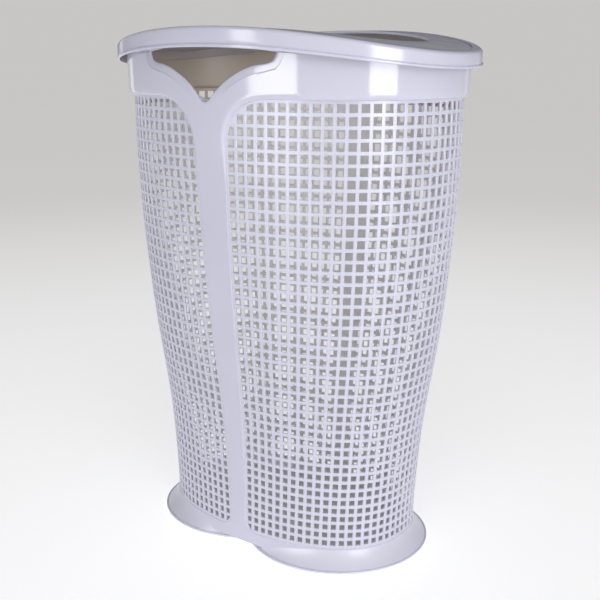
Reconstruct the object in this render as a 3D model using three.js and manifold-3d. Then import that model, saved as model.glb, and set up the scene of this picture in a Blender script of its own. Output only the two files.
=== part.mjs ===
// Oval laundry hamper with a lift-off lid, in millimetres, +Z up.
// The origin is on the floor, in the middle of the two feet. The long side runs along X,
// and the front, with its post and hand window, faces -Y.
import * as THREE from 'three';
import { mergeVertices } from 'three/addons/utils/BufferGeometryUtils.js';
import Module from 'manifold-3d';

// ---- driving dimensions ------------------------------------------------------------------

const HEIGHT = 600;            // floor to the crown of the lid
const GAP = 0.3;               // clearance kept between pieces that touch

// The tapered wall is a superellipse that grows from the floor to the collar.
const WALL_STATION_Z = [0, 134.5, 269, 403.5, 527.7];
const WALL_HALF_LENGTH = [160.6, 169.2, 188.3, 200.1, 203.3];
const WALL_HALF_WIDTH = [104.4, 108.4, 124.0, 136.9, 142.2];
const SQUARENESS_BOTTOM = 2.35; // superellipse exponent at the floor
const SQUARENESS_TOP = 2.24;    // and at the collar
const WALL_THICKNESS = 2.5;
const WALL_BOTTOM = 8;
const COLLAR_BOTTOM = 527.7;
const WALL_TOP = COLLAR_BOTTOM - GAP;

const COLLAR_STEP = 6.2;       // how far the collar stands out from the wall
const COLLAR_DRAFT = 1.2;      // extra step at its top edge
const COLLAR_THICKNESS = 2.6;
const COLLAR_TOP = 595.8;

// The lid and the collar's top edge fall away towards both ends of the oval.
const ARCH_REACH = 207;        // distance from the centre where the falls below are measured
const ARCH_POWER = 2.05;
const LID_TOP_FALL = 23.1;
const LID_EDGE_FALL = 18.8;    // fall of the lid's lower edge
const COLLAR_FALL = 22.2;

const LID_OVERHANG = 17.6;     // lid skirt, outside the wall line
const LID_SKIRT_BOTTOM = 579;
const LID_SKIRT_THICKNESS = 2;
const LID_BEAD = 1.3;          // lip along the skirt's lower edge
const LID_BEAD_HEIGHT = 3.4;
const LID_CORNER_RADIUS = 3.8;
const LID_BORDER_WIDTH = 11.4; // raised border round the panel
const LID_PANEL_RECESS = 0.8;
const LID_PANEL_THICKNESS = 2.5;
const LID_OPENING_INSET = 39;  // drop-in opening, measured in from the wall line
const LID_LIP_OUTER = 2.7;     // locating lip that sits inside the collar
const LID_LIP_INNER = 0.7;
const LID_LIP_BOTTOM = 584;

// The post is the plain strip between the two perforated panels.
const POST_HALF_WIDTH_BOTTOM = 10.1;
const POST_HALF_WIDTH_TOP = 20.8;
const POST_FLARE_START = 476;
const POST_FLARE_REACH = 75;   // half width where the flare meets the collar
const POST_FLARE_POWER = 2.2;
const POST_PROUD = 0.6;        // outward step of the post's lower part
const POST_RISE_START = 430;   // from here it rises to be flush with the collar

// Hand window, a rounded V cut through the collar into the top of the post.
const WINDOW_TIP = 522.8;
const WINDOW_HALF_WIDTH = 87;
const WINDOW_SHOULDER = 563.4;
const WINDOW_CORNER = 11;
const WINDOW_TOP_MIDDLE = 581;
const WINDOW_TOP_SIDE = 577;

const FLOOR_THICKNESS = 3;

const FOOT_SPACING = 70;       // each disc's centre, from the middle
const FOOT_RADIUS = 110.3;
const FOOT_RIM_HEIGHT = 2.6;
const FOOT_RIM_WIDTH = 3;
const FOOT_PLATE_TOP = 7.6;
const FOOT_PLATE_THICKNESS = 3;
const FOOT_COVE_TOP = 23;
const FOOT_COVE_POWER = 1.6;
const FOOT_WALL_CLEARANCE = 0.5;
const FOOT_COVE_FADE = [46, 68]; // the cove sinks between these distances from the middle
const FOOT_SUNK_SLOPE = 0.02;  // the little height that the sunk cove keeps

const AROUND = 72;             // segments round the oval
const FOOT_AROUND = 56;

// ---- materials ---------------------------------------------------------------------------

function plastic(hex, roughness) {
  return new THREE.MeshStandardMaterial({ color: hex, roughness, metalness: 0 });
}

const finish = {
  lid: () => plastic(0xe6e6f2, 0.28),
  collar: () => plastic(0xe4e4f1, 0.26),
  post: () => plastic(0xe2e2ee, 0.32),
  panel: () => plastic(0xe8e8f2, 0.38),
  floor: () => plastic(0xdcdce4, 0.45),
  foot: () => plastic(0xe5e5f0, 0.3),
};

// ---- solids ------------------------------------------------------------------------------

const wasm = await Module();
wasm.setup();

function toSolid(geometry) {
  const bare = geometry.clone();
  bare.deleteAttribute('normal');
  bare.deleteAttribute('uv');
  const merged = mergeVertices(bare, 1e-4);
  const corners = merged.index.array;
  const kept = [];
  for (let i = 0; i < corners.length; i += 3) {
    const [a, b, c] = [corners[i], corners[i + 1], corners[i + 2]];
    if (a !== b && b !== c && c !== a) kept.push(a, b, c);
  }
  const mesh = new wasm.Mesh({
    numProp: 3,
    vertProperties: new Float32Array(merged.attributes.position.array),
    triVerts: new Uint32Array(kept),
  });
  return new wasm.Manifold(mesh);
}

function toGeometry(solid) {
  const mesh = solid.getMesh();
  const geometry = new THREE.BufferGeometry();
  const position = new THREE.BufferAttribute(new Float32Array(mesh.vertProperties), 3);
  geometry.setAttribute('position', position);
  geometry.setIndex(new THREE.BufferAttribute(new Uint32Array(mesh.triVerts), 1));
  geometry.computeVertexNormals();
  return geometry;
}

// ---- the oval ----------------------------------------------------------------------------

const halfLengthAt = new THREE.CubicInterpolant(WALL_STATION_Z, WALL_HALF_LENGTH, 1);
const halfWidthAt = new THREE.CubicInterpolant(WALL_STATION_Z, WALL_HALF_WIDTH, 1);

function outlineAt(z) {
  const height = THREE.MathUtils.clamp(z, 0, COLLAR_BOTTOM);
  const a = halfLengthAt.evaluate(height)[0];
  const b = halfWidthAt.evaluate(height)[0];
  const n = THREE.MathUtils.lerp(SQUARENESS_BOTTOM, SQUARENESS_TOP, height / COLLAR_BOTTOM);
  return { a, b, n };
}

// A point on the wall line at a height, moved out along the wall's normal by an offset.
function ovalPoint(angle, z, offset) {
  const { a, b, n } = outlineAt(z);
  const along = Math.cos(angle);
  const across = Math.sin(angle);
  const x = a * Math.sign(along) * Math.abs(along) ** (2 / n);
  const y = b * Math.sign(across) * Math.abs(across) ** (2 / n);
  const normal = new THREE.Vector2(
    Math.sign(x) * Math.abs(x / a) ** (n - 1) / a,
    Math.sign(y) * Math.abs(y / b) ** (n - 1) / b,
  ).normalize();
  return new THREE.Vector2(x + normal.x * offset, y + normal.y * offset);
}

// Turns a closed profile of [offset from the wall line, height] points into an oval ring.
// A profile that reaches -CENTRE closes at the middle of the oval.
const CENTRE = 100;
const STRAIGHT_OFFSET = 12;    // offsets further in than this shrink towards the middle

function ovalRing(profile, fall = () => 0) {
  const disc = profile[0][0] <= -CENTRE;
  const closed = disc ? profile : [...profile, profile[0]];
  const points = closed.map(([offset, z]) => new THREE.Vector2(CENTRE + offset, z));
  const ring = new THREE.LatheGeometry(points, AROUND);
  ring.rotateX(Math.PI / 2);
  const position = ring.attributes.position;
  for (let i = 0; i < position.count; i += 1) {
    const radius = Math.hypot(position.getX(i), position.getY(i));
    const angle = Math.atan2(position.getY(i), position.getX(i));
    const z = position.getZ(i);
    const offset = radius - CENTRE;
    const place = ovalPoint(angle, z, disc ? Math.max(offset, -STRAIGHT_OFFSET) : offset);
    if (disc && offset < -STRAIGHT_OFFSET) {
      place.multiplyScalar(radius / (CENTRE - STRAIGHT_OFFSET));
    }
    position.setXYZ(i, place.x, place.y, z - fall(place.x, z));
  }
  return toSolid(ring);
}

function arch(x) {
  return (Math.abs(x) / ARCH_REACH) ** ARCH_POWER;
}

function lidFall(x, z) {
  const up = (z - LID_SKIRT_BOTTOM) / (HEIGHT - LID_SKIRT_BOTTOM);
  return arch(x) * THREE.MathUtils.lerp(LID_EDGE_FALL, LID_TOP_FALL, up);
}

function collarFall(x, z) {
  const up = (z - COLLAR_BOTTOM) / (COLLAR_TOP - COLLAR_BOTTOM);
  return arch(x) * COLLAR_FALL * Math.max(up, 0);
}

// ---- cutters -----------------------------------------------------------------------------

// Extrudes an outline drawn in X and Z through one long side, the front or the rear.
function throughSide(shape, side) {
  const reach = 120;
  const start = 80;
  const block = new THREE.ExtrudeGeometry(shape, { depth: reach, bevelEnabled: false });
  block.rotateX(Math.PI / 2);
  block.translate(0, -start, 0);
  if (side === 'rear') block.rotateZ(Math.PI);
  return toSolid(block);
}

// The post's outline: two straight sides that open in a smooth flare under the collar.
function postShape(grow) {
  const right = [[POST_HALF_WIDTH_BOTTOM + grow, 0]];
  const steps = 14;
  for (let i = 0; i <= steps; i += 1) {
    const turn = (i / steps) * (Math.PI / 2);
    const across = Math.cos(turn) ** (2 / POST_FLARE_POWER);
    const up = Math.sin(turn) ** (2 / POST_FLARE_POWER);
    const flare = POST_FLARE_REACH - POST_HALF_WIDTH_TOP;
    right.push([
      POST_FLARE_REACH - flare * across + grow,
      POST_FLARE_START + (WALL_TOP - POST_FLARE_START) * up - grow,
    ]);
  }
  right.push([POST_FLARE_REACH + grow, WALL_TOP + 1]);
  const left = right.map(([x, z]) => [-x, z]).reverse();
  return new THREE.Shape([...right, ...left].map(([x, z]) => new THREE.Vector2(x, z)));
}

function windowShape() {
  const shoulder = WINDOW_HALF_WIDTH - WINDOW_CORNER;
  const side = new THREE.SplineCurve([
    new THREE.Vector2(3.2, WINDOW_TIP + 1.4),
    new THREE.Vector2(10, 530.3),
    new THREE.Vector2(18, 538.2),
    new THREE.Vector2(30, 547.2),
    new THREE.Vector2(45.5, 555.4),
    new THREE.Vector2(61, 560.9),
    new THREE.Vector2(shoulder, WINDOW_SHOULDER),
  ]).getPoints(14);
  const corner = new THREE.QuadraticBezierCurve(
    new THREE.Vector2(shoulder, WINDOW_SHOULDER),
    new THREE.Vector2(WINDOW_HALF_WIDTH, WINDOW_SHOULDER + 2),
    new THREE.Vector2(WINDOW_HALF_WIDTH, WINDOW_SHOULDER + WINDOW_CORNER),
  ).getPoints(4).slice(1);
  const top = new THREE.QuadraticBezierCurve(
    new THREE.Vector2(WINDOW_HALF_WIDTH, WINDOW_TOP_SIDE),
    new THREE.Vector2(0, 2 * WINDOW_TOP_MIDDLE - WINDOW_TOP_SIDE),
    new THREE.Vector2(-WINDOW_HALF_WIDTH, WINDOW_TOP_SIDE),
  ).getPoints(8);
  const right = [...side, ...corner];
  const left = right.map((point) => new THREE.Vector2(-point.x, point.y)).reverse();
  const tip = new THREE.Vector2(0, WINDOW_TIP);
  return new THREE.Shape([tip, ...right, ...top, ...left]);
}

// ---- pieces ------------------------------------------------------------------------------

// A wall ring whose outside stands off the wall line by a height-dependent amount.
function wallRing(outsideAt) {
  const heights = [];
  for (let i = 0; i < 7; i += 1) {
    heights.push(THREE.MathUtils.lerp(WALL_BOTTOM, POST_RISE_START, i / 7));
  }
  for (let i = 0; i <= 4; i += 1) {
    heights.push(THREE.MathUtils.lerp(POST_RISE_START, WALL_TOP, i / 4));
  }
  const outside = heights.map((z) => [outsideAt(z), z]);
  const inside = heights.map((z) => [-WALL_THICKNESS, z]).reverse();
  return ovalRing([...outside, ...inside]);
}

function postOutside(z) {
  const rise = THREE.MathUtils.smoothstep(z, POST_RISE_START, WALL_TOP);
  return THREE.MathUtils.lerp(POST_PROUD, COLLAR_STEP, rise);
}

function makePanel(side) {
  const half = new THREE.BoxGeometry(300, 400, 800);
  half.translate(side === 'right' ? 150 : -150, 0, 300);
  return wallRing(() => 0)
    .intersect(toSolid(half))
    .subtract(throughSide(postShape(GAP), 'front'))
    .subtract(throughSide(postShape(GAP), 'rear'));
}

function makePost(side) {
  return wallRing(postOutside)
    .intersect(throughSide(postShape(0), side))
    .subtract(throughSide(windowShape(), side));
}

function makeCollar() {
  const top = COLLAR_STEP + COLLAR_DRAFT;
  const flange = COLLAR_BOTTOM + COLLAR_THICKNESS;
  const ring = ovalRing([
    [-WALL_THICKNESS, COLLAR_BOTTOM],
    [COLLAR_STEP - 1.4, COLLAR_BOTTOM],
    [COLLAR_STEP, COLLAR_BOTTOM + 1.4],
    [COLLAR_STEP + COLLAR_DRAFT / 2, (COLLAR_BOTTOM + COLLAR_TOP) / 2],
    [top, COLLAR_TOP - 1],
    [top - 0.7, COLLAR_TOP],
    [top - COLLAR_THICKNESS, COLLAR_TOP],
    [COLLAR_STEP + COLLAR_DRAFT / 2 - COLLAR_THICKNESS, (COLLAR_BOTTOM + COLLAR_TOP) / 2],
    [COLLAR_STEP - COLLAR_THICKNESS, flange],
    [-WALL_THICKNESS, flange],
  ], collarFall);
  return ring
    .subtract(throughSide(windowShape(), 'front'))
    .subtract(throughSide(windowShape(), 'rear'));
}

function makeLid() {
  const panelTop = HEIGHT - LID_PANEL_RECESS;
  const underside = panelTop - LID_PANEL_THICKNESS;
  const borderInner = LID_OVERHANG - LID_BORDER_WIDTH;
  const beadTop = LID_SKIRT_BOTTOM + LID_BEAD_HEIGHT;
  const corner = LID_CORNER_RADIUS;
  const bevel = corner * (1 - Math.SQRT1_2);
  return ovalRing([
    [-LID_OPENING_INSET, panelTop],
    [-LID_OPENING_INSET, underside],
    [-LID_OPENING_INSET / 2, underside],
    [LID_LIP_INNER, underside],
    [LID_LIP_INNER, LID_LIP_BOTTOM],
    [LID_LIP_OUTER, LID_LIP_BOTTOM],
    [LID_LIP_OUTER, underside],
    [LID_OVERHANG - LID_SKIRT_THICKNESS, underside],
    [LID_OVERHANG - LID_SKIRT_THICKNESS, LID_SKIRT_BOTTOM],
    [LID_OVERHANG + LID_BEAD, LID_SKIRT_BOTTOM],
    [LID_OVERHANG + LID_BEAD, beadTop],
    [LID_OVERHANG, beadTop + 1],
    [LID_OVERHANG, HEIGHT - corner],
    [LID_OVERHANG - bevel, HEIGHT - bevel],
    [LID_OVERHANG - corner, HEIGHT],
    [borderInner, HEIGHT],
    [borderInner - 1, panelTop],
    [-LID_OPENING_INSET / 2, panelTop],
  ], lidFall);
}

function makeFloorPan() {
  const edge = -WALL_THICKNESS - GAP;
  const top = WALL_BOTTOM + FLOOR_THICKNESS;
  return ovalRing([[-CENTRE, WALL_BOTTOM], [edge, WALL_BOTTOM], [edge, top], [-CENTRE, top]]);
}

// Distance from a foot's centre to the outside of the wall, in one direction.
function reachToWall(angle, centreX, z) {
  const { a, b, n } = outlineAt(z);
  let near = 0;
  let far = 2 * FOOT_RADIUS + FOOT_SPACING;
  for (let i = 0; i < 40; i += 1) {
    const middle = (near + far) / 2;
    const x = centreX + middle * Math.cos(angle);
    const y = middle * Math.sin(angle);
    const inside = Math.abs(x / a) ** n + Math.abs(y / b) ** n < 1;
    if (inside) near = middle;
    else far = middle;
  }
  return near;
}

// A foot is a round disc with a rim. Its cove sweeps up and closes round the foot of the wall.
function makeFoot(side) {
  const sign = side === 'right' ? 1 : -1;
  const hug = 92;              // nominal radius that is fitted to the wall
  const coveStart = hug + 1.2;
  const coveBottom = FOOT_RIM_HEIGHT + 0.6;
  const points = [
    [0, FOOT_PLATE_TOP - FOOT_PLATE_THICKNESS],
    [hug, FOOT_PLATE_TOP - FOOT_PLATE_THICKNESS],
    [FOOT_RADIUS - FOOT_RIM_WIDTH - 4, 3.4],
    [FOOT_RADIUS - FOOT_RIM_WIDTH, 1.2],
    [FOOT_RADIUS - FOOT_RIM_WIDTH, 0],
    [FOOT_RADIUS, 0],
    [FOOT_RADIUS, FOOT_RIM_HEIGHT],
  ];
  const steps = 5;
  for (let i = 0; i <= steps; i += 1) {
    const inward = i / steps;
    points.push([
      THREE.MathUtils.lerp(FOOT_RADIUS - 0.8, coveStart, inward),
      coveBottom + (FOOT_COVE_TOP - coveBottom) * inward ** FOOT_COVE_POWER,
    ]);
  }
  points.push([hug, FOOT_COVE_TOP], [hug, FOOT_PLATE_TOP], [0, FOOT_PLATE_TOP]);
  const profile = points.map(([radius, z]) => new THREE.Vector2(radius, z));
  const disc = new THREE.LatheGeometry(profile, FOOT_AROUND);
  disc.rotateX(Math.PI / 2);
  const position = disc.attributes.position;
  for (let i = 0; i < position.count; i += 1) {
    const radius = Math.hypot(position.getX(i), position.getY(i));
    const angle = Math.atan2(position.getY(i), position.getX(i));
    const wall = reachToWall(angle, sign * FOOT_SPACING, FOOT_COVE_TOP) + FOOT_WALL_CLEARANCE;
    const fitted = Math.min(wall, FOOT_RADIUS - FOOT_RIM_WIDTH);
    const beyond = (radius - hug) / (FOOT_RADIUS - hug);
    const placed = radius <= hug
      ? radius * (fitted / hug)
      : THREE.MathUtils.lerp(fitted, FOOT_RADIUS, beyond);
    const x = sign * FOOT_SPACING + placed * Math.cos(angle);
    const y = placed * Math.sin(angle);
    const wallX = Math.abs(sign * FOOT_SPACING + fitted * Math.cos(angle));
    const full = THREE.MathUtils.smoothstep(wallX, ...FOOT_COVE_FADE);
    const z = position.getZ(i);
    const above = Math.max(z - FOOT_PLATE_TOP, 0);
    const sunk = above * FOOT_SUNK_SLOPE;
    position.setXYZ(i, x, y, z - above + THREE.MathUtils.lerp(sunk, above, full));
  }
  const half = new THREE.BoxGeometry(300, 400, 100);
  half.translate(sign * (150 + GAP), 0, 0);
  return toSolid(disc).intersect(toSolid(half));
}

// ---- assembly ----------------------------------------------------------------------------

function piece(name, solid, material) {
  const mesh = new THREE.Mesh(toGeometry(solid), material);
  mesh.name = name;
  return mesh;
}

const basket = new THREE.Group();
basket.name = 'basket';
basket.add(
  piece('collar', makeCollar(), finish.collar()),
  piece('front_post', makePost('front'), finish.post()),
  piece('rear_post', makePost('rear'), finish.post()),
  piece('left_panel', makePanel('left'), finish.panel()),
  piece('right_panel', makePanel('right'), finish.panel()),
  piece('floor_pan', makeFloorPan(), finish.floor()),
  piece('left_foot', makeFoot('left'), finish.foot()),
  piece('right_foot', makeFoot('right'), finish.foot()),
);

const hamper = new THREE.Group();
hamper.name = 'laundry_hamper';
hamper.add(basket, piece('lid', makeLid(), finish.lid()));

export default hamper;
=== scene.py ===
"""Laundry hamper with a lift-off lid: the looks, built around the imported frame.

Shapes are worked out in millimetres, on the same oval as the CAD, and turned into metres
where a mesh is made. Left and right are -X and +X, and the front faces -Y.
"""

import math

import bpy
import numpy as np
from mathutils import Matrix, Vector
from mathutils.geometry import tessellate_polygon


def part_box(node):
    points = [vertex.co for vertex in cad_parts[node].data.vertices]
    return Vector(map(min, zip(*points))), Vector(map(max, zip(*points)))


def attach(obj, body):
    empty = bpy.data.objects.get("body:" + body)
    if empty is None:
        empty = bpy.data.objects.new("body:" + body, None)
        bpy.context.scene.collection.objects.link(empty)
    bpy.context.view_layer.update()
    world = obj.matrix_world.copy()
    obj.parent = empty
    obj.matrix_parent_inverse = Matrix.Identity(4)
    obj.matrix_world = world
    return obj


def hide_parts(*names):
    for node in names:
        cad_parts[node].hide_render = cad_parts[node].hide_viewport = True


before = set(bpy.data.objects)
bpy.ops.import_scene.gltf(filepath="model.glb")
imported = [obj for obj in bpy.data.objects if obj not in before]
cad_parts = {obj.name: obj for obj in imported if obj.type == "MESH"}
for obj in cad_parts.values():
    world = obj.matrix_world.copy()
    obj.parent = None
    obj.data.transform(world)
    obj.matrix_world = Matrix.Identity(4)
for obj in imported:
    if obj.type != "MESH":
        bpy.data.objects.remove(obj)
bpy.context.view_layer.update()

MM = 0.001

# ---- driving dimensions, in millimetres --------------------------------------------------

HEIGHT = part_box("lid")[1].z / MM
# The wall line's half length and half width at five heights.
STATION_Z = np.array([0, 134.5, 269, 403.5, 527.7])
HALF_LENGTH = np.array([160.6, 169.2, 188.3, 200.1, 203.3])
HALF_WIDTH = np.array([104.4, 108.4, 124.0, 136.9, 142.2])
SQUARENESS = (2.35, 2.24)            # superellipse exponent at the floor and at the collar
WALL_BOTTOM = 8.0
WALL = 2.5                           # wall thickness
COLLAR_BOTTOM = 527.7
COLLAR_TOP = 595.8
COLLAR_STEP = 6.2                    # how far it stands out from the wall line
COLLAR_DRAFT = 1.2                   # how much further it stands out at its top
COLLAR_WALL = 2.6
COLLAR_ROUND = 4.4                   # radius of the collar's lower edge
COLLAR_SHELF = 3.5                   # height over which the wall steps out into the collar
TOP_ROUND = (1.3, 1.4)               # depth and height of the rounding of its top edge

ARCH_REACH = 207                     # where the arch has fallen by the whole of its fall
ARCH_POWER = 2.05
LID_TOP_FALL = 23.1                  # fall of the lid's top, its lower edge and the collar's top
LID_EDGE_FALL = 18.8
COLLAR_FALL = 22.2

POST_HALF = (9.9, 0.0232)            # half width at the floor, and its growth per millimetre
POST_PROUD = 0.6                     # how far the post stands out from the wall line
POST_RISE = 430.0                    # where it starts to rise to the collar's step
FLARE_START = 476.0                  # where it starts to widen, and how far out it goes
FLARE_REACH = 75.0
FLARE_POWER = 2.2

# Half of the hand window's lower edge, as (distance from the post's middle, height).
WINDOW_SIDE = [(0, 523.7), (4.2, 524.6), (10.2, 530.2), (18, 538.2), (30, 547.2), (45.5, 555.4),
               (61, 560.9), (75, 563.2), (83, 566.2), (87, 573.5)]
WINDOW_TOP = 577.0                   # height of the window's upper corners
WINDOW_CROWN = 4.6                   # rise of its top edge at the middle
WINDOW_LIP = (0.7, 1.2)              # depth and width of the rounding along its edge
BEVEL_WIDTH = 8.4                    # the sunk border along the window
BEVEL_DROP = 1.7                     # its depth at the window, and at its outer edge
BEVEL_STEP = 0.8
BEVEL_FADE = (530, 550)              # heights over which it fades in above the post
PATCH = 116.0                        # the shaped part of the collar, each side of the middle

COLUMNS = 42                         # holes across one panel
ROWS = 44
ROW_FIRST = 29.4                     # height of the lowest and the highest row of holes
ROW_LAST = 520.2
ROW_STRETCH = 1.029                  # row pitch over column pitch
RIB = 4.0                            # width of the ribs between the holes
EDGE_MARGIN = 1.4                    # extra plain width beside the posts
EDGE_RIB = 2.2                       # plain rib along the edge of the perforated field
CUT_COLUMNS = 16                     # columns beside a post that its outline may cut
SMALLEST_HOLE = 0.3                  # a hole cut to less than this share of its area is left out
CHAMFER = 0.45                       # of each hole, on both sides of the wall
PANEL_BOTTOM = 22.5                  # lower edge of the perforated field
PANEL_CORNER = 14.0                  # rounding of its lower corners

INSIDE_SHADE_HEIGHT = 512.0                  # the inside is darker above this height: painted shade under the collar, painted light below

LID_OVERHANG = 17.6                  # from the wall line out to the lid's skirt
LID_EDGE = 579.0                     # lower edge of the skirt
LID_SKIRT = 2.0                      # its thickness
LID_BEAD = 1.3                       # how far the bead along its lower edge stands out
LID_CREASE = 0.45                    # depth of the crease above the bead
LID_ROUND = 3.8
LID_BORDER = 11.4                    # width of the raised border
LID_GROOVE = 1.9                     # depth of the groove inside it
LID_GROOVE_HALF = 1.4
LID_RECESS = 0.8                     # how far the top plate lies below the border
LID_PLATE = 2.9                      # thickness of the plate
LID_OPENING = 39.0                   # from the wall line in to the opening
LID_OPENING_ROUND = 1.45
LID_RIB = (0.7, 2.7)                 # inner and outer side of the rib that sits in the collar
LID_RIB_FOOT = 584.0

FOOT_SPACING = 70.0                  # from the hamper's middle to the middle of a foot
FOOT_RADIUS = 110.3
FOOT_GAP = 0.15                      # half the gap between the two feet
FOOT_RIM = 2.7                       # width of the rim
FOOT_WALL_LEVEL = 12                 # the cove ends where the wall is at this height
COVE_START = (2.9, 3.4)              # height of the cove at the rim, and where it is lowest
COVE_BEND = (0.80, 0.20, 4)          # its rise: a straight share, a bent share and the bend's power
COVE_STEPS = (0.06, 0.15, 0.28, 0.42, 0.56, 0.7, 0.82, 0.92, 1.0)
# The rim, as (distance in from the foot's edge, height).
RIM_PROFILE = [(3, 0), (0.4, 0), (0, 0.4), (0, 2.1), (0.25, 2.5), (0.8, 2.7), (1.5, 2.7), (1.7, 1.9),
               (2.6, 1.9), (FOOT_RIM, COVE_START[0])]
# Top of the cove by the distance from the hamper's middle plane.
COVE_HEIGHTS = [(19, 8), (30, 11), (45, 14.3), (58, 16.8), (68, 18.4), (90, 21), (111, 22.5), (135, 23)]


# ---- the oval ----------------------------------------------------------------------------

def station_curve(values, z):
    """A smooth curve through the values at the wall's stations, with straight ends."""
    z = np.clip(z, STATION_Z[0], STATION_Z[-1])
    i = np.clip(np.searchsorted(STATION_Z, z, side="right"), 1, len(STATION_Z) - 1)
    last = len(STATION_Z) - 1
    t0, t1, v0, v1 = STATION_Z[i - 1], STATION_Z[i], values[i - 1], values[i]
    t_before = np.where(i >= 2, STATION_Z[np.maximum(i - 2, 0)], 2 * t0 - t1)
    v_before = np.where(i >= 2, values[np.maximum(i - 2, 0)], v1)
    t_after = np.where(i < last, STATION_Z[np.minimum(i + 1, last)], 2 * t1 - t0)
    v_after = np.where(i < last, values[np.minimum(i + 1, last)], v0)
    half = (t1 - t0) / 2
    wb, wa = half / (t0 - t_before), half / (t_after - t1)
    p = (z - t0) / (t1 - t0)
    return ((-wb * p**3 + 2 * wb * p**2 - wb * p) * v_before
            + ((1 + wb) * p**3 + (-1.5 - 2 * wb) * p**2 + (wb - 0.5) * p + 1) * v0
            + ((-1 - wa) * p**3 + (1.5 + wa) * p**2 + 0.5 * p) * v1
            + (wa * p**3 - wa * p**2) * v_after)


def oval(angle, z, offset):
    """Points on the wall line at heights z, moved out along the wall's normal."""
    angle, z, offset = np.broadcast_arrays(angle, np.asarray(z, float), offset)
    level = np.clip(z, 0, COLLAR_BOTTOM)
    a, b = station_curve(HALF_LENGTH, level), station_curve(HALF_WIDTH, level)
    n = SQUARENESS[0] + (SQUARENESS[1] - SQUARENESS[0]) * level / COLLAR_BOTTOM
    c, s = np.cos(angle), np.sin(angle)
    x = a * np.sign(c) * np.abs(c) ** (2 / n)
    y = b * np.sign(s) * np.abs(s) ** (2 / n)
    nx = np.sign(x) * np.abs(x / a) ** (n - 1) / a
    ny = np.sign(y) * np.abs(y / b) ** (n - 1) / b
    size = np.hypot(nx, ny)
    return x + nx / size * offset, y + ny / size * offset


TABLE_Z = np.linspace(0, COLLAR_BOTTOM, 80)
TABLE_ANGLE = np.linspace(-math.pi / 2, math.pi / 2, 2401)
TABLE_SHARE = np.linspace(0, 1, 1201)


def wall_tables():
    """At each table height, half the perimeter, and the oval's angle at even shares of it,
    counted from the middle of the front."""
    x, y = oval(TABLE_ANGLE[None, :], TABLE_Z[:, None], 0.0)
    steps = np.hypot(np.diff(x), np.diff(y))
    runs = np.concatenate([np.zeros((len(TABLE_Z), 1)), np.cumsum(steps, axis=1)], axis=1)
    angles = [np.interp(TABLE_SHARE, run / run[-1], TABLE_ANGLE) for run in runs]
    return runs[:, -1], np.array(angles)


HALF_PERIMETER, ANGLE_AT = wall_tables()


def half_perimeter(z):
    return np.interp(np.clip(z, 0, COLLAR_BOTTOM), TABLE_Z, HALF_PERIMETER)


def wall_angle(run, z):
    """The oval's angle at a distance run round the wall from the front, towards +X."""
    level = np.clip(z, 0, COLLAR_BOTTOM) / COLLAR_BOTTOM * (len(TABLE_Z) - 1)
    share = np.clip(run / half_perimeter(z), 0, 1) * (len(TABLE_SHARE) - 1)
    i = np.minimum(level.astype(int), len(TABLE_Z) - 2)
    k = np.minimum(share.astype(int), len(TABLE_SHARE) - 2)
    u, v = level - i, share - k
    return ((1 - u) * ((1 - v) * ANGLE_AT[i, k] + v * ANGLE_AT[i, k + 1])
            + u * ((1 - v) * ANGLE_AT[i + 1, k] + v * ANGLE_AT[i + 1, k + 1]))


def wall_point(run, z, offset):
    """run is signed: positive goes round by +X, negative by -X."""
    run, z = np.asarray(run, float), np.asarray(z, float)
    x, y = oval(wall_angle(np.abs(run), z), z, offset)
    x = np.where(run < 0, -x, x)
    return np.stack([x, y, z - collar_fall(x, z)], axis=-1)


def arch(x):
    return (np.abs(x) / ARCH_REACH) ** ARCH_POWER


def collar_fall(x, z):
    return arch(x) * COLLAR_FALL * np.clip((z - COLLAR_BOTTOM) / (COLLAR_TOP - COLLAR_BOTTOM), 0, None)


def lid_fall(x, z):
    up = (z - LID_EDGE) / (HEIGHT - LID_EDGE)
    return arch(x) * (LID_EDGE_FALL + (LID_TOP_FALL - LID_EDGE_FALL) * up)


def smoothstep(value, low, high):
    t = np.clip((value - low) / (high - low), 0, 1)
    return t * t * (3 - 2 * t)


# ---- mesh making -------------------------------------------------------------------------

def make_object(name, points, faces, inner=(), sharp=38):
    """A smooth-shaded mesh object. The faces listed in inner take the second material."""
    mesh = bpy.data.meshes.new(name)
    mesh.from_pydata((np.asarray(points) * MM).tolist(), [], [list(map(int, f)) for f in faces])
    second = np.zeros(len(faces), dtype=np.int32)
    second[list(inner)] = 1
    mesh.polygons.foreach_set("material_index", second)
    mesh.validate()
    mesh.shade_smooth()
    mesh.set_sharp_from_angle(angle=math.radians(sharp))
    mesh.update()
    obj = bpy.data.objects.new(name, mesh)
    bpy.context.scene.collection.objects.link(obj)
    return obj


def thick_sheet(name, run, z, faces, outer, inner, sharp=38):
    """A closed shell over a flat net of faces laid on the wall, between two offsets."""
    run, z = np.asarray(run, float), np.asarray(z, float)
    outer, inner = np.asarray(outer, float), np.asarray(inner, float)
    base = wall_point(run, z, 0.0)
    _, first, merged = np.unique(np.round(base, 2), axis=0, return_index=True, return_inverse=True)
    merged = merged.ravel()
    run, z, outer, inner = run[first], z[first], outer[first], inner[first]
    count = len(first)
    front = []
    for face in faces:
        ids = [int(merged[v]) for v in face]
        ids = [v for k, v in enumerate(ids) if v != ids[k - 1]]
        if len(ids) >= 3:
            front.append(ids)
    directed = {(f[k - 1], f[k]) for f in front for k in range(len(f))}
    rims = [(a, b) for a, b in directed if (b, a) not in directed]
    solid = front + [[v + count for v in reversed(f)] for f in front]
    solid += [[b, a, a + count, b + count] for a, b in rims]
    points = np.concatenate([wall_point(run, z, outer), wall_point(run, z, inner)])
    return make_object(name, points, solid, range(len(front), 2 * len(front)), sharp)


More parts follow.
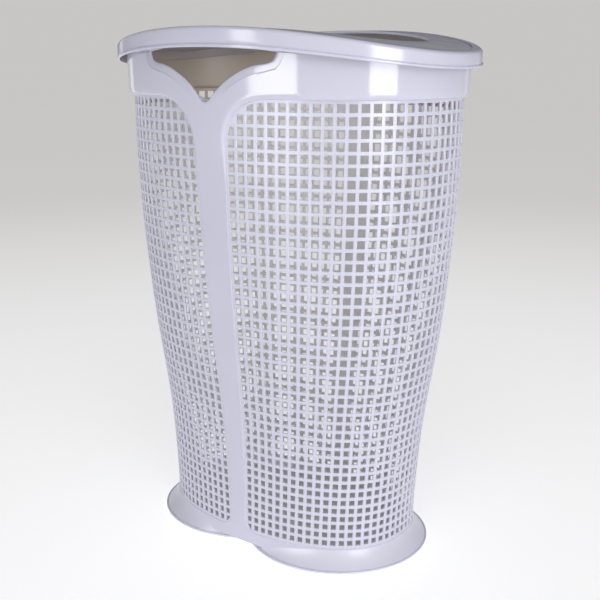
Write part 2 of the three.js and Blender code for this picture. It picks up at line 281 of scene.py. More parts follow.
def oval_ring(name, outside, inside, fall, segments=288, sharp=38):
    """Sweeps a closed profile of (offset, height) points round the oval."""
    offset, height = np.array(outside + inside, float).T
    count = len(height)
    angle = np.arange(segments) / segments * 2 * math.pi
    x, y = oval(angle[:, None], height[None, :], offset[None, :])
    z = height[None, :] - fall(x, height[None, :])
    points = np.stack([x, y, z + 0 * x], axis=-1).reshape(-1, 3)
    faces = [(i * count + k, (i + 1) % segments * count + k,
              (i + 1) % segments * count + (k + 1) % count, i * count + (k + 1) % count)
             for i in range(segments) for k in range(count)]
    inner = [i * count + k for i in range(segments) for k in range(len(outside), count)]
    return make_object(name, points, faces, inner, sharp)


def arc(centre, radius, start, end, steps):
    """Points on an arc from one angle to another, in degrees."""
    turn = np.radians(np.linspace(start, end, steps + 1))
    return [(centre[0] + radius * math.cos(t), centre[1] + radius * math.sin(t)) for t in turn]


def smooth_path(points, steps):
    """A uniform Catmull-Rom curve through the points."""
    p = np.array(points, float)
    p = np.concatenate([[2 * p[0] - p[1]], p, [2 * p[-1] - p[-2]]])
    t = np.linspace(0, 1, steps, endpoint=False)[:, None]
    parts = [0.5 * (2 * p[i] + (p[i + 1] - p[i - 1]) * t
                    + (2 * p[i - 1] - 5 * p[i] + 4 * p[i + 1] - p[i + 2]) * t**2
                    + (3 * p[i] - p[i - 1] - 3 * p[i + 1] + p[i + 2]) * t**3)
             for i in range(1, len(p) - 2)]
    return np.concatenate(parts + [p[-2:-1]])


def path_length(path):
    return np.concatenate([[0], np.cumsum(np.linalg.norm(np.diff(path, axis=0), axis=1))])


def distance_to_path(points, path):
    """Distance from each point to a polyline."""
    a, b = path[:-1], path[1:]
    ab = b - a
    share = ((points[:, None] - a) * ab).sum(-1) / np.maximum((ab**2).sum(-1), 1e-9)
    nearest = a + np.clip(share, 0, 1)[..., None] * ab
    return np.linalg.norm(points[:, None] - nearest, axis=-1).min(axis=1)


# ---- outlines shared by the frame moulding and the panels --------------------------------

def post_half(z):
    return POST_HALF[0] + POST_HALF[1] * np.asarray(z, float)


def field_edge():
    """The edge of the perforated field beside a post, as (distance from the post's middle,
    height), from under the field, round its lower corner, up the post and out along the
    collar."""
    low = [(2 * PATCH, PANEL_BOTTOM), (PATCH, PANEL_BOTTOM)]
    corner_x = post_half(PANEL_BOTTOM + PANEL_CORNER) + PANEL_CORNER
    low += arc((corner_x, PANEL_BOTTOM + PANEL_CORNER), PANEL_CORNER, 270, 180, 8)
    side = [(post_half(z), z) for z in np.linspace(60, FLARE_START, 30)]
    top = COLLAR_BOTTOM
    reach = FLARE_REACH - post_half(top)
    for t in np.linspace(0, math.pi / 2, 26)[1:]:
        up = math.sin(t) ** (2 / FLARE_POWER)
        out = 1 - math.cos(t) ** (2 / FLARE_POWER)
        z = FLARE_START + (top - FLARE_START) * up
        side.append((post_half(z) + reach * out, z))
    return np.array(low + side + [(PATCH, top), (2 * PATCH, top)])


EDGE = field_edge()


# ---- perforated panels -------------------------------------------------------------------

def clip(polygon, edge):
    """The part of a convex polygon on the field's side of the edge."""
    for a, b in zip(edge[:-1], edge[1:]):
        out = []
        d = b - a
        side = [(p[0] - a[0]) * d[1] - (p[1] - a[1]) * d[0] for p in polygon]
        for k, p in enumerate(polygon):
            q, sp, sq = polygon[k - 1], side[k], side[k - 1]
            if (sp >= -1e-9) != (sq >= -1e-9):
                t = sq / (sq - sp)
                out.append(q + (p - q) * t)
            if sp >= -1e-9:
                out.append(p)
        polygon = out
        if len(polygon) < 3:
            return []
    return polygon


def area(polygon):
    p = np.array(polygon)
    q = np.roll(p, -1, axis=0)
    return abs((p[:, 0] * q[:, 1] - p[:, 1] * q[:, 0]).sum()) / 2


def inset_edge(edge, distance):
    """The edge moved into the field by a distance."""
    d = np.gradient(edge, axis=0)
    d /= np.linalg.norm(d, axis=1)[:, None]
    return edge + np.stack([d[:, 1], -d[:, 0]], axis=1) * distance


def open_width(z):
    """The width that the columns of holes share, at one height."""
    return half_perimeter(z) - 2 * post_half(z) - 2 * EDGE_MARGIN


def hole_line(column, z):
    """Distance from the post's middle to the middle of the rib before a column of holes."""
    return post_half(z) + EDGE_MARGIN + open_width(z) * column / COLUMNS


def cell_line(column, z):
    """The same for the cells round the holes, the first of which starts at the post."""
    return post_half(z) if column == 0 else hole_line(column, z)


def row_heights():
    """Heights of the rows' middles, and of the lines between them."""
    middles = [ROW_FIRST]
    half_pitch = 5.0
    for _ in range(ROWS - 1):
        z = middles[-1]
        middles.append(z + ROW_STRETCH * open_width(z + half_pitch) / COLUMNS)
    middles = np.array(middles)
    middles = ROW_FIRST + (middles - ROW_FIRST) * (ROW_LAST - ROW_FIRST) / (middles[-1] - ROW_FIRST)
    lines = (middles[1:] + middles[:-1]) / 2
    return middles, np.concatenate([[PANEL_BOTTOM], lines, [COLLAR_BOTTOM]])


def corners(line, column, low, high, inset):
    """The four points between a column's lines and two heights, counter-clockwise."""
    spots = [(line(column, low) + inset, low), (line(column + 1, low) - inset, low),
             (line(column + 1, high) - inset, high), (line(column, high) + inset, high)]
    return [np.array(spot, float) for spot in spots]


def triangles_between(loop, hole):
    """Fills the space between a loop and a hole in it with counter-clockwise triangles, as
    indices into the points of both."""
    points = list(loop) + list(hole)
    triangles = []
    for tri in tessellate_polygon([[Vector((*p, 0)) for p in loop], [Vector((*p, 0)) for p in hole]]):
        a, b, c = (points[t] for t in tri)
        turn = (b[0] - a[0]) * (c[1] - a[1]) - (b[1] - a[1]) * (c[0] - a[0])
        triangles.append(list(tri) if turn > 0 else [tri[0], tri[2], tri[1]])
    return triangles


def make_panel(name, side):
    """One perforated wall panel: a cell for each hole, mirrored from the front to the rear."""
    middles, lines = row_heights()
    half_holes = (np.gradient(middles) - RIB) / 2
    hole_edge = inset_edge(EDGE, EDGE_RIB)
    run, height, outer, inner, faces = [], [], [], [], []

    def add(points, rear, depth):
        """Adds points, sunk by a depth into both sides of the wall, and returns their numbers."""
        start = len(run)
        for x, z in points:
            distance = half_perimeter(z) - x if rear else x
            run.append(side * distance)
            height.append(z)
            outer.append(-depth)
            inner.append(-WALL + depth)
        return list(range(start, len(run)))

    def add_face(ids, rear):
        faces.append(ids if (side > 0) != rear else ids[::-1])

    def add_band(loop, next_loop, rear):
        """Adds the faces between two loops of as many points."""
        for m in range(len(loop)):
            add_face([loop[m - 1], loop[m], next_loop[m], next_loop[m - 1]], rear)

    def add_cell(cell, hole, rear):
        """Adds one cell with its chamfered hole."""
        middle = sum(hole) / len(hole)
        half = math.sqrt(area(hole)) / 2
        wide = [middle + (p - middle) * (1 + CHAMFER / half) for p in hole]
        outside, mouth, throat = add(cell, rear, 0), add(wide, rear, 0), add(hole, rear, CHAMFER)
        add_band(mouth, throat, rear)
        if len(cell) == 4 and len(hole) == 4:
            add_band(outside, mouth, rear)
        else:
            ids = outside + mouth
            for tri in triangles_between(cell, wide):
                add_face([ids[t] for t in tri], rear)

    for j in range(ROWS):
        low, high = lines[j], lines[j + 1]
        hole_low, hole_high = middles[j] - half_holes[j], middles[j] + half_holes[j]
        crosses_edge = high > FLARE_START or low < PANEL_BOTTOM + 2 * PANEL_CORNER
        for column in range(COLUMNS):
            rear = column >= COLUMNS / 2
            from_post = COLUMNS - 1 - column if rear else column
            cell = corners(cell_line, from_post, low, high, 0)
            hole = corners(hole_line, from_post, hole_low, hole_high, RIB / 2)
            full = area(hole)
            if crosses_edge and from_post < CUT_COLUMNS:
                cell = clip(cell, EDGE)
                hole = clip(hole, hole_edge)
            if len(cell) < 3:
                continue
            if len(hole) < 3 or area(hole) < SMALLEST_HOLE * full:
                add_face(add(cell, rear, 0), rear)
            else:
                add_cell(cell, hole, rear)
    return thick_sheet(name, run, height, faces, outer, inner)


# ---- frame moulding: collar, posts and lower band ----------------------------------------

def collar_draft(z):
    """How much further out the collar stands at a height than at its lower edge."""
    return COLLAR_DRAFT * np.clip((z - COLLAR_BOTTOM) / (COLLAR_TOP - COLLAR_BOTTOM), 0, 1)


def frame_height(z):
    """How far the frame moulding stands out from the wall line."""
    rise = smoothstep(z, POST_RISE, COLLAR_BOTTOM)
    return POST_PROUD + (COLLAR_STEP - POST_PROUD) * rise + collar_draft(z)


def rounded(height, distance):
    """The height of a face whose edge is rounded, at a distance in from the edge."""
    radius = np.minimum(COLLAR_ROUND, height * 0.8)
    into = np.clip(1 - distance / radius, 0, 1)
    return height - radius + radius * np.sqrt(1 - into**2)


def rounded_top(z):
    """How far the collar's outside falls back where its top edge is rounded."""
    depth, tall = TOP_ROUND
    into = np.clip((z - (COLLAR_TOP - tall)) / tall, 0, 1)
    return depth * (1 - np.sqrt(1 - into**2))


def collar_inside(z):
    """Offset of the inner faces: the wall's, stepped out inside the collar."""
    step = COLLAR_STEP - COLLAR_WALL + WALL + collar_draft(z)
    return -WALL + step * smoothstep(z, COLLAR_BOTTOM, COLLAR_BOTTOM + COLLAR_SHELF)


def before_fall(path):
    """Heights given on the finished collar, moved to where they lie before its arch is bent."""
    x, z = path.T
    share = arch(x) * COLLAR_FALL / (COLLAR_TOP - COLLAR_BOTTOM)
    raised = (z - share * COLLAR_BOTTOM) / (1 - share)
    return np.stack([x, np.where(z > COLLAR_BOTTOM, raised, z)], axis=1)


BAND_STEPS = [0, 0.12, 0.35, 0.8, 1.5, 2.6, 4.4]     # distances in from the field's edge
WINDOW_STEPS = [0, 0.5, 2.0, 4.5, BEVEL_WIDTH - 0.25, BEVEL_WIDTH + 0.25, BEVEL_WIDTH + 1.5]
COLLAR_LEVELS = [COLLAR_BOTTOM + step for step in BAND_STEPS] + [540, 552, 564, WINDOW_TOP]
RIM_LEVELS = [WINDOW_TOP, 583, 589, 593.6, 594.9, 595.6, COLLAR_TOP]
NET_STEP_LOW = 11.0                  # spacing of the net's rows along the post, and higher up
NET_STEP_HIGH = 2.6
FULL_WINDOW_BAND = 26                # a strip narrower than this has its steps squeezed
FULL_FIELD_BAND = 13


def y_patch():
    """One half of a post with its flare and the collar round half of the window, as a net of
    (distance from the post's middle, height) points, and the window's edge."""
    window = before_fall(smooth_path(WINDOW_SIDE, 6))
    corner = (window[-1][0], WINDOW_TOP)
    inner_path = np.concatenate([
        [(PATCH, WALL_BOTTOM), (26, WALL_BOTTOM), (0, WALL_BOTTOM), (0, 60), (0, POST_RISE)],
        window, [corner]])
    edge = EDGE[1:-1]
    outer_path = np.concatenate([edge, [(PATCH, z) for z in COLLAR_LEVELS[1:]]])
    inner_run, outer_run = path_length(inner_path), path_length(outer_path)

    def along(path, run, x, z):
        gap = np.hypot(path[:, 0] - x, path[:, 1] - z)
        return run[gap.argmin()]

    # Points on the inner path, and the points on the outer path that the net joins them to.
    pairs = [((PATCH, WALL_BOTTOM), (PATCH, PANEL_BOTTOM)), ((26, WALL_BOTTOM), (24, PANEL_BOTTOM)),
             ((0, WALL_BOTTOM), (14, 28)), ((0, 60), (post_half(60), 60)),
             ((0, POST_RISE), (post_half(POST_RISE), POST_RISE)), (window[0], (26, 500)),
             ((18, 538), (34, 512)), ((45, 556), (56, 524)), ((61, 562), (75, COLLAR_BOTTOM)),
             ((75, 565), (PATCH, COLLAR_BOTTOM)), ((83, 568), (PATCH, 536)),
             (window[-1], (PATCH, 564)), (corner, (PATCH, WINDOW_TOP))]
    inner_keys = [along(inner_path, inner_run, *spot) for spot, _ in pairs]
    outer_keys = [along(outer_path, outer_run, *spot) for _, spot in pairs]
    post_top, collar_start = outer_keys[4], outer_keys[9]
    fixed = np.round([outer_run[len(edge) - 1 + k] for k in range(len(COLLAR_LEVELS))], 3)
    stations = np.unique(np.round(np.concatenate([
        np.arange(0, post_top, NET_STEP_LOW), np.arange(post_top, collar_start, NET_STEP_HIGH), fixed,
        np.interp(inner_run, inner_keys, outer_keys)]), 3))
    stations = np.array([s for s in stations if s in fixed or np.abs(s - fixed).min() > 0.05])
    matched = np.interp(stations, outer_keys, inner_keys)
    a = np.stack([np.interp(matched, inner_run, inner_path[:, c]) for c in (0, 1)], axis=1)
    b = np.stack([np.interp(stations, outer_run, outer_path[:, c]) for c in (0, 1)], axis=1)
    length = np.linalg.norm(b - a, axis=1)[:, None]
    from_a = np.array(WINDOW_STEPS) * np.minimum(1, length / FULL_WINDOW_BAND)
    from_b = np.array(BAND_STEPS[::-1]) * np.minimum(1, length / FULL_FIELD_BAND)
    middle = np.linspace(0, 1, 6)[1:-1]
    gap = length - from_a[:, -1:] - from_b[:, :1]
    distance = np.concatenate([from_a, from_a[:, -1:] + gap * middle, length - from_b], axis=1)
    share = distance / length
    net = a[:, None] + (b - a)[:, None] * share[..., None]
    return net, np.concatenate([window, [corner]])


def patch_offset(net, window_edge):
    """How far the faces of the patch stand out: the rounded moulding, less the sunk border and
    the rounded lip round the window."""
    flat = net.reshape(-1, 2)
    z = net[..., 1]
    from_field = distance_to_path(flat, EDGE[1:]).reshape(z.shape)
    from_window = distance_to_path(flat, window_edge).reshape(z.shape)
    inside = np.clip(1 - from_window / BEVEL_WIDTH, 0, 1)
    sunk = np.where(from_window < BEVEL_WIDTH, BEVEL_STEP, 0) + (BEVEL_DROP - BEVEL_STEP) * inside
    lip = WINDOW_LIP[0] * np.clip(1 - from_window / WINDOW_LIP[1], 0, 1) ** 2
    return rounded(frame_height(z), from_field) - sunk * smoothstep(z, *BEVEL_FADE) - lip


def rim_net(corner_x):
    """The collar above half of the window, up to its top edge."""
    x = np.concatenate([np.linspace(0, corner_x, 16), [PATCH]])
    low = WINDOW_TOP + WINDOW_CROWN * (1 - np.clip(x / corner_x, 0, 1) ** 2)
    levels = (np.array(RIM_LEVELS) - WINDOW_TOP) / (COLLAR_TOP - WINDOW_TOP)
    z = low[:, None] + levels * (COLLAR_TOP - low)[:, None]
    return np.repeat(x[:, None], len(levels), axis=1), z


def make_frame(name):
    """Collar, posts and lower band in one moulding."""
    run, height, outer, inner, faces = [], [], [], [], []

    def add_net(x, z, out, flip, rear, side):
        """Adds a rectangular net of points, and the faces between them."""
        start = len(run)
        rows, cols = x.shape
        distance = half_perimeter(z) - x if rear else x
        run.extend((side * distance).ravel())
        height.extend(z.ravel())
        outer.extend(out.ravel())
        inner.extend(collar_inside(z).ravel())
        turn = (flip != rear) != (side < 0)
        for r in range(rows - 1):
            for c in range(cols - 1):
                p = start + r * cols + c
                face = [p, p + 1, p + cols + 1, p + cols]
                faces.append(face[::-1] if turn else face)

    net, window_edge = y_patch()
    net_out = patch_offset(net, window_edge)
    rim_x, rim_z = rim_net(window_edge[-1][0])
    rim_out = frame_height(rim_z) - rounded_top(rim_z)

    around = np.linspace(0, 1, 57)[:, None]
    levels = np.array(COLLAR_LEVELS + RIM_LEVELS[1:])
    sweep_z = levels + 0 * around
    sweep_x = PATCH + (half_perimeter(COLLAR_BOTTOM) - 2 * PATCH) * around + 0 * levels
    sweep_out = rounded(frame_height(sweep_z), sweep_z - COLLAR_BOTTOM) - rounded_top(sweep_z)
    band_z = np.array([WALL_BOTTOM] + [PANEL_BOTTOM - step for step in BAND_STEPS[3::-1]]) + 0 * around
    band_x = PATCH + (half_perimeter(band_z) - 2 * PATCH) * around
    band_out = rounded(POST_PROUD + 0 * band_z, PANEL_BOTTOM - band_z)

    for side in (1, -1):
        for rear in (False, True):
            add_net(net[..., 0], net[..., 1], net_out, False, rear, side)
            add_net(rim_x, rim_z, rim_out, True, rear, side)
        add_net(sweep_x, sweep_z, sweep_out, True, False, side)
        add_net(band_x, band_z, band_out, True, False, side)
    return thick_sheet(name, run, height, faces, outer, inner, sharp=32)


# ---- lid and feet ------------------------------------------------------------------------

def make_lid(name):
    """The lid as one ring, from its skirt over the raised border and in to its opening."""
    low, top, edge = LID_EDGE, HEIGHT, LID_OVERHANG
    bead, crease, skirt = edge + LID_BEAD, edge - LID_CREASE, edge - LID_SKIRT
    border, opening = edge - LID_BORDER, -LID_OPENING
    groove_out, groove_in = border + LID_GROOVE_HALF, border - LID_GROOVE_HALF
    plate = top - LID_RECESS
    under = plate - LID_PLATE
    rib_in, rib_out = LID_RIB
    outside = [(skirt + 0.1, low + 0.1), (edge - 0.4, low + 0.05), (bead - 0.3, low + 0.35),
               (bead, low + 1.0), (bead, low + 2.6), (bead - 0.25, low + 3.2), (edge - 0.1, low + 3.5),
               (crease, low + 3.75), (crease, low + 4.1), (edge, low + 4.7), (edge, low + 9),
               (edge, low + 14)]
    outside += arc((edge - LID_ROUND, top - LID_ROUND), LID_ROUND, 0, 90, 7)
    outside += [(border + 0.5, top), (border + 0.1, top - 0.12), (border, top - 0.4),
                (groove_out, top - 0.6), (groove_out, top - LID_GROOVE), (groove_in, top - LID_GROOVE),
                (groove_in - 0.6, plate), (-15, plate), (opening + 3, plate)]
    outside += arc((opening + LID_OPENING_ROUND, plate - LID_OPENING_ROUND), LID_OPENING_ROUND, 95, 265, 6)
    inside = [(opening + 3, under), (-15, under), (-1.5, under - 0.2), (rib_in, under - 0.9),
              (rib_in, LID_RIB_FOOT + 0.6), (rib_in + 0.4, LID_RIB_FOOT), (rib_out - 0.4, LID_RIB_FOOT),
              (rib_out, LID_RIB_FOOT + 0.6), (rib_out, under - 0.4), (rib_out + 1.5, under - 0.2),
              (border + 1.5, under - 0.2), (border + 4, under + 0.5), (edge - 4, under + 1.1),
              (skirt - 0.6, under + 0.3), (skirt, under - 1.3), (skirt, low + 9), (skirt, low + 0.3)]
    return oval_ring(name, outside, inside, lid_fall)


def wall_reach(angle, centre_x, z):
    """How far from a foot's centre the wall lies in each direction, at one height."""
    loop = np.linspace(0, 2 * math.pi, 721)
    just_inside = -0.5
    x, y = oval(loop, z, just_inside)
    turn = np.arctan2(y, x - centre_x)
    order = np.argsort(turn)
    return np.interp(angle, turn[order], np.hypot(x - centre_x, y)[order], period=2 * math.pi)


def make_foot(name, side):
    """A round foot, cut off where the two meet: a grooved rim, and a cove up to the wall."""
    centre = side * FOOT_SPACING
    half_cut = math.acos((FOOT_SPACING - 2 * FOOT_GAP) / FOOT_RADIUS)
    around = np.linspace(half_cut - math.pi, math.pi - half_cut, 145)
    if side < 0:
        around = around + math.pi
    under_wall = wall_reach(around, centre, FOOT_WALL_LEVEL)
    inner = np.minimum(under_wall, FOOT_RADIUS - FOOT_RIM - 0.5)
    start, (start_z, lowest) = FOOT_RADIUS - FOOT_RIM, COVE_START
    crest = np.interp(np.abs(centre + FOOT_RADIUS * np.cos(around)), *np.array(COVE_HEIGHTS).T)
    top = lowest + (crest - lowest) * smoothstep(FOOT_RADIUS - under_wall, -2, 6)

    straight, bent, power = COVE_BEND
    rim = [(FOOT_RADIUS - inward, z) for inward, z in RIM_PROFILE]
    cove = [(start + (inner - start) * s, start_z + (top - start_z) * (straight * s + bent * s**power))
            for s in COVE_STEPS]
    beneath = [(inner - 2.2, top - 0.4), (inner - 2.4, np.maximum(top - 3, 4)),
               (np.minimum(inner - 6, FOOT_RADIUS - 8), 4.2), (FOOT_RADIUS - 6, 2.8),
               (FOOT_RADIUS - 3.2, 1.6)]
    profile = rim + cove + beneath
    radius = np.stack([reach + 0 * around for reach, _ in profile], axis=1)
    z = np.stack([level + 0 * around for _, level in profile], axis=1)
    x = centre + radius * np.cos(around)[:, None]
    x = np.where(side * x < FOOT_GAP, side * FOOT_GAP, x)
    y = radius * np.sin(around)[:, None]
    points = np.stack([x, y, z], axis=-1).reshape(-1, 3)
    count, cols = len(around), len(profile)
    faces = [(i * cols + k, (i + 1) * cols + k, (i + 1) * cols + (k + 1) % cols, i * cols + (k + 1) % cols)
             for i in range(count - 1) for k in range(cols)]
    faces += [tuple(range(cols)), tuple((count - 1) * cols + k for k in range(cols))[::-1]]
    return make_object(name, points, faces, sharp=30)


# ---- materials ---------------------------------------------------------------------------

def plastic(name, colour, rough, texture=0.02, grain=900.0):
    """Moulded polypropylene: a slight drift of tint, uneven gloss and a fine skin."""
    mat = bpy.data.materials.new(name)
    mat.use_nodes = True
    nodes, links = mat.node_tree.nodes, mat.node_tree.links
    bsdf = nodes["Principled BSDF"]
    bsdf.inputs["IOR"].default_value = 1.49
    place = nodes.new("ShaderNodeTexCoord")

    drift = nodes.new("ShaderNodeTexNoise")
    drift.inputs["Scale"].default_value = 7.0
    drift.inputs["Detail"].default_value = 3.0
    links.new(place.outputs["Object"], drift.inputs["Vector"])
    tint = nodes.new("ShaderNodeValToRGB")
    tint.color_ramp.elements[0].position = 0.3
    tint.color_ramp.elements[0].color = (*[c * 0.965 for c in colour], 1)
    tint.color_ramp.elements[1].position = 0.7
    tint.color_ramp.elements[1].color = (*[min(1, c * 1.02) for c in colour], 1)
    links.new(drift.outputs["Fac"], tint.inputs["Fac"])
    links.new(tint.outputs["Color"], bsdf.inputs["Base Color"])

    gloss = nodes.new("ShaderNodeTexNoise")
    gloss.inputs["Scale"].default_value = 22.0
    gloss.inputs["Detail"].default_value = 4.0
    links.new(place.outputs["Object"], gloss.inputs["Vector"])
    spread = nodes.new("ShaderNodeMapRange")
    spread.inputs["From Min"].default_value = 0.3
    spread.inputs["From Max"].default_value = 0.7
    spread.inputs["To Min"].default_value = rough - 0.035
    spread.inputs["To Max"].default_value = rough + 0.035
    links.new(gloss.outputs["Fac"], spread.inputs["Value"])
    links.new(spread.outputs["Result"], bsdf.inputs["Roughness"])

    skin = nodes.new("ShaderNodeTexNoise")
    skin.inputs["Scale"].default_value = grain
    skin.inputs["Detail"].default_value = 2.0
    links.new(place.outputs["Object"], skin.inputs["Vector"])
    bump = nodes.new("ShaderNodeBump")
    bump.inputs["Strength"].default_value = texture
    bump.inputs["Distance"].default_value = 0.0004
    links.new(skin.outputs["Fac"], bump.inputs["Height"])
    links.new(bump.outputs["Normal"], bsdf.inputs["Normal"])
    return mat


WHITE = (0.72, 0.722, 0.865)
lid_plastic = plastic("lid_plastic", WHITE, 0.15)
frame_plastic = plastic("frame_plastic", WHITE, 0.11)
panel_plastic = plastic("panel_plastic", (0.73, 0.732, 0.86), 0.38, texture=0.05)
# Paler than the other plastic: painted light on the feet.
foot_plastic = plastic("foot_plastic", (0.83, 0.832, 0.955), 0.33)
# Darker, warmer copy of the plastic for the inside faces: painted shade inside the hamper.
inner_painted_shade = plastic("inner_painted_shade", (0.49, 0.42, 0.35), 0.45, texture=0.08, grain=500.0)
# Paler copy for the inside faces low down: painted light.
inner_painted_light = plastic("inner_painted_light", (0.84, 0.825, 0.83), 0.45, texture=0.08, grain=500.0)
# Darker copy for the lid's underside: painted shade under the lid.
lid_inner_painted_shade = plastic("lid_inner_painted_shade", (0.40, 0.365, 0.355), 0.45, texture=0.08, grain=500.0)
floor_plastic = plastic("floor_plastic", (0.76, 0.745, 0.73), 0.5, texture=0.2, grain=400.0)


# ---- the parts ---------------------------------------------------------------------------

def dress(obj, material, inside):
    """Outside in the given plastic, inside faces in the second, a copy with its shade or light painted in.
    """
    obj.data.materials.append(material)
    obj.data.materials.append(inside)
    return obj


def pale_below(obj, material, height):
    """Gives the inside faces below a height the paler copy: painted light low down, under the painted
    shade higher up.
    """
    obj.data.materials.append(material)
    for face in obj.data.polygons:
        if face.material_index == 1 and face.center.z < height * MM:
            face.material_index = 2


frame_moulding = dress(make_frame("frame_moulding"), frame_plastic, inner_painted_shade)
left_lattice = dress(make_panel("left_lattice", -1), panel_plastic, inner_painted_shade)
right_lattice = dress(make_panel("right_lattice", 1), panel_plastic, inner_painted_shade)
left_foot = dress(make_foot("left_foot_ring", -1), foot_plastic, inner_painted_light)
right_foot = dress(make_foot("right_foot_ring", 1), foot_plastic, inner_painted_light)
lid = dress(make_lid("lid_shell"), lid_plastic, lid_inner_painted_shade)

# Painted light on the inside faces low down, below the painted shade higher up.
for piece in (frame_moulding, left_lattice, right_lattice):
    pale_below(piece, inner_painted_light, INSIDE_SHADE_HEIGHT)

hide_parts("collar", "front_post", "rear_post")
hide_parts("left_panel")
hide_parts("right_panel")
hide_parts("left_foot")
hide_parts("right_foot")
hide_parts("lid")
for piece in (frame_moulding, left_lattice, right_lattice, left_foot, right_foot):
    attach(piece, "basket")
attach(lid, "lid")

floor_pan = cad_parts["floor_pan"]
floor_pan.data.materials.clear()
floor_pan.data.materials.append(floor_plastic)


# ---- studio ------------------------------------------------------------------------------

CAMERA_LENS = 59.21                  # millimetres, on a sensor 36 mm wide
CAMERA_SHIFT = 0.01252
CAMERA_PLACE = (0.71534, -0.91378, 0.57496)
CAMERA_TURN = 0.664                  # radians to the left of +Y, and down
CAMERA_DOWN = 0.247
GROUND_HALF = 60.0
GROUND_DROP = 0.0006
FADE_START = 0.3                     # distances over which the floor's painted glow dims into the backdrop's tone
FADE_END = 3.2
ROOM_LIGHT = 0.14
# The floor glows, painted light: white round the hamper, dimming to a warm grey further off, and lighting
# the hamper from below.
FLOOR_GLOW = 0.62
FLOOR_GLOW_NEAR = (1.0, 1.0, 1.0)
FLOOR_GLOW_FAR = (0.734, 0.714, 0.692)
BACKDROP = (0.578, 0.566, 0.552)
FRONT_BOX = 62                       # watts, here and below
LID_BOX = 20
RIGHT_BOX = 62
LEFT_BOX = 2.0
BACK_BOX = 1.0
LEFT_FILL = 2.1
FRONT_FILL = 1.5
RIGHT_FILL = 17.8
BACK_FILL = 5.0
HIGH_FILL = 15.0


def make_ground():
    """A pale floor that glows: a painted pool of light, brightest round the hamper and fading into the
    backdrop's tone with distance.
    """
    mesh = bpy.data.meshes.new("ground")
    corner_signs = [(-1, -1), (1, -1), (1, 1), (-1, 1)]
    points = [(x * GROUND_HALF, y * GROUND_HALF, -GROUND_DROP) for x, y in corner_signs]
    mesh.from_pydata(points, [], [(0, 1, 2, 3)])
    ground = bpy.data.objects.new("ground", mesh)
    bpy.context.scene.collection.objects.link(ground)
    mat = bpy.data.materials.new("paper")
    mat.use_nodes = True
    nodes, links = mat.node_tree.nodes, mat.node_tree.links
    bsdf = nodes["Principled BSDF"]
    bsdf.inputs["Roughness"].default_value = 0.9
    bsdf.inputs["Specular IOR Level"].default_value = 0.1
    place = nodes.new("ShaderNodeTexCoord")
    reach = nodes.new("ShaderNodeVectorMath")
    reach.operation = "LENGTH"
    links.new(place.outputs["Object"], reach.inputs[0])
    fade = nodes.new("ShaderNodeMapRange")
    fade.interpolation_type = "SMOOTHSTEP"
    fade.inputs["From Min"].default_value = FADE_START
    fade.inputs["From Max"].default_value = FADE_END
    links.new(reach.outputs["Value"], fade.inputs["Value"])
    # Painted light: the floor's glow, brightest near the hamper.
    glow = nodes.new("ShaderNodeValToRGB")
    glow.color_ramp.elements[0].color = (*FLOOR_GLOW_NEAR, 1)
    glow.color_ramp.elements[1].color = (*FLOOR_GLOW_FAR, 1)
    links.new(fade.outputs["Result"], glow.inputs["Fac"])
    links.new(glow.outputs["Color"], bsdf.inputs["Emission Color"])
    bsdf.inputs["Emission Strength"].default_value = FLOOR_GLOW
    grain = nodes.new("ShaderNodeTexNoise")
    grain.inputs["Scale"].default_value = 30.0
    tone = nodes.new("ShaderNodeValToRGB")
    tone.color_ramp.elements[0].color = (0.86, 0.86, 0.87, 1)
    tone.color_ramp.elements[1].color = (0.90, 0.90, 0.91, 1)
    links.new(grain.outputs["Fac"], tone.inputs["Fac"])
    links.new(tone.outputs["Color"], bsdf.inputs["Base Color"])
    mesh.materials.append(mat)
    return ground


def softbox(name, role, azimuth, distance, height, width, tall, power, tilt=0.0):
    """A soft box facing the hamper. Azimuth 0 is in front of it and 90 at its right. Its role
    is to be mirrored in the plastic, or to fill in."""
    turn = math.radians(azimuth)
    data = bpy.data.lights.new(name, "AREA")
    data.shape = "RECTANGLE"
    data.size, data.size_y = width, tall
    data.energy = power
    light = bpy.data.objects.new(name, data)
    light.location = (distance * math.sin(turn), -distance * math.cos(turn), height)
    light.rotation_euler = (math.radians(90 - tilt), 0, turn)
    light.visible_diffuse = role != "mirrored"
    light.visible_glossy = role != "fill"
    bpy.context.scene.collection.objects.link(light)
    return light


def shine_on(light, pieces, shared):
    """Links a light to some pieces: only they receive it, or, if not shared, they alone do not."""
    receivers = bpy.data.collections.new(light.name + "_receivers")
    for piece in pieces:
        receivers.objects.link(piece)
    light.light_linking.receiver_collection = receivers
    if not shared:
        for entry in receivers.collection_objects:
            entry.light_linking.link_state = "EXCLUDE"


def make_world():
    """A pale backdrop behind the object, and a dimmer grey room around it for the light."""
    world = bpy.data.worlds.new("studio")
    bpy.context.scene.world = world
    world.use_nodes = True
    nodes, links = world.node_tree.nodes, world.node_tree.links
    nodes.clear()
    out = nodes.new("ShaderNodeOutputWorld")
    room = nodes.new("ShaderNodeBackground")
    room.inputs["Color"].default_value = (1, 1, 1, 1)
    room.inputs["Strength"].default_value = ROOM_LIGHT
    paper = nodes.new("ShaderNodeBackground")
    paper.inputs["Color"].default_value = (*BACKDROP, 1)
    paper.inputs["Strength"].default_value = 1.0
    ray = nodes.new("ShaderNodeLightPath")
    mix = nodes.new("ShaderNodeMixShader")
    links.new(ray.outputs["Is Camera Ray"], mix.inputs["Fac"])
    links.new(room.outputs["Background"], mix.inputs[1])
    links.new(paper.outputs["Background"], mix.inputs[2])
    links.new(mix.outputs["Shader"], out.inputs["Surface"])


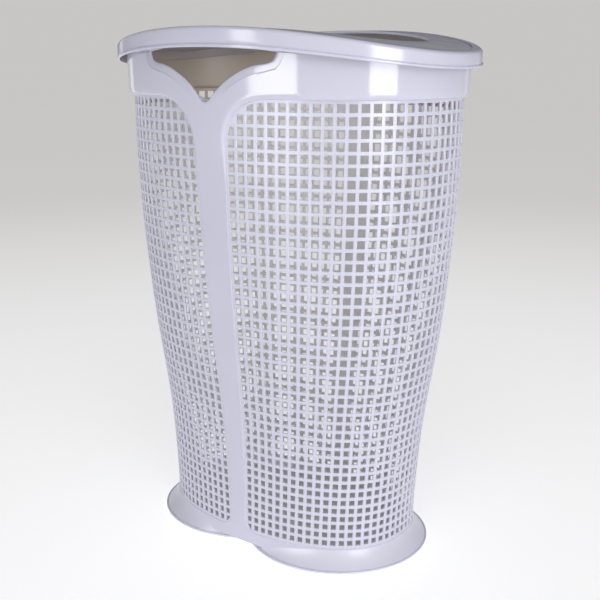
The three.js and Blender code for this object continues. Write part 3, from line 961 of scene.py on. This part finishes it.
def make_camera():
    """The photograph's viewpoint, solved from the hole grid and the outline."""
    data = bpy.data.cameras.new("camera")
    data.lens = CAMERA_LENS
    data.sensor_width = 36
    data.shift_x = CAMERA_SHIFT
    data.clip_start = 0.01
    camera = bpy.data.objects.new("camera", data)
    camera.location = CAMERA_PLACE
    level = math.cos(CAMERA_DOWN)
    ahead = Vector((-math.sin(CAMERA_TURN) * level, math.cos(CAMERA_TURN) * level, -math.sin(CAMERA_DOWN)))
    camera.rotation_euler = ahead.to_track_quat("-Z", "Y").to_euler()
    bpy.context.scene.collection.objects.link(camera)
    bpy.context.scene.camera = camera


ground = make_ground()
make_world()
make_camera()
front_softbox = softbox("front_softbox", "mirrored", azimuth=-8, distance=2.2, height=0.5,
                        width=1.0, tall=2.4, power=FRONT_BOX)
lid_softbox = softbox("lid_softbox", "mirrored", azimuth=-20.5, distance=2.2, height=0.5,
                      width=0.42, tall=2.4, power=LID_BOX)
softbox("right_softbox", "mirrored", azimuth=66, distance=2.2, height=0.5, width=0.95, tall=2.4,
        power=RIGHT_BOX)
softbox("left_strip", "mirrored", azimuth=-103, distance=2.2, height=0.5, width=0.30, tall=2.4,
        power=LEFT_BOX)
softbox("back_strip", "mirrored", azimuth=171, distance=2.4, height=0.5, width=0.25, tall=2.4,
        power=BACK_BOX)
left_fill = softbox("left_fill", "fill", azimuth=-60, distance=1.3, height=0.15, width=1.2,
                    tall=0.6, power=LEFT_FILL)
front_fill = softbox("front_fill", "fill", azimuth=10, distance=2.2, height=0.6, width=1.6,
                     tall=1.8, power=FRONT_FILL, tilt=9)
right_fill = softbox("right_fill", "fill", azimuth=70, distance=2.2, height=0.6, width=1.6,
                     tall=1.8, power=RIGHT_FILL, tilt=9)
back_fill = softbox("back_fill", "fill", azimuth=192, distance=2.2, height=0.8, width=1.6,
                    tall=1.6, power=BACK_FILL, tilt=8)
softbox("high_fill", "fill", azimuth=38, distance=1.6, height=2.0, width=1.6, tall=1.6,
        power=HIGH_FILL, tilt=48)
for light in (left_fill, front_fill, right_fill, back_fill):
    shine_on(light, [ground], False)
shine_on(front_softbox, [lid], False)
shine_on(lid_softbox, [lid], True)
bpy.context.scene.view_settings.view_transform = "Standard"
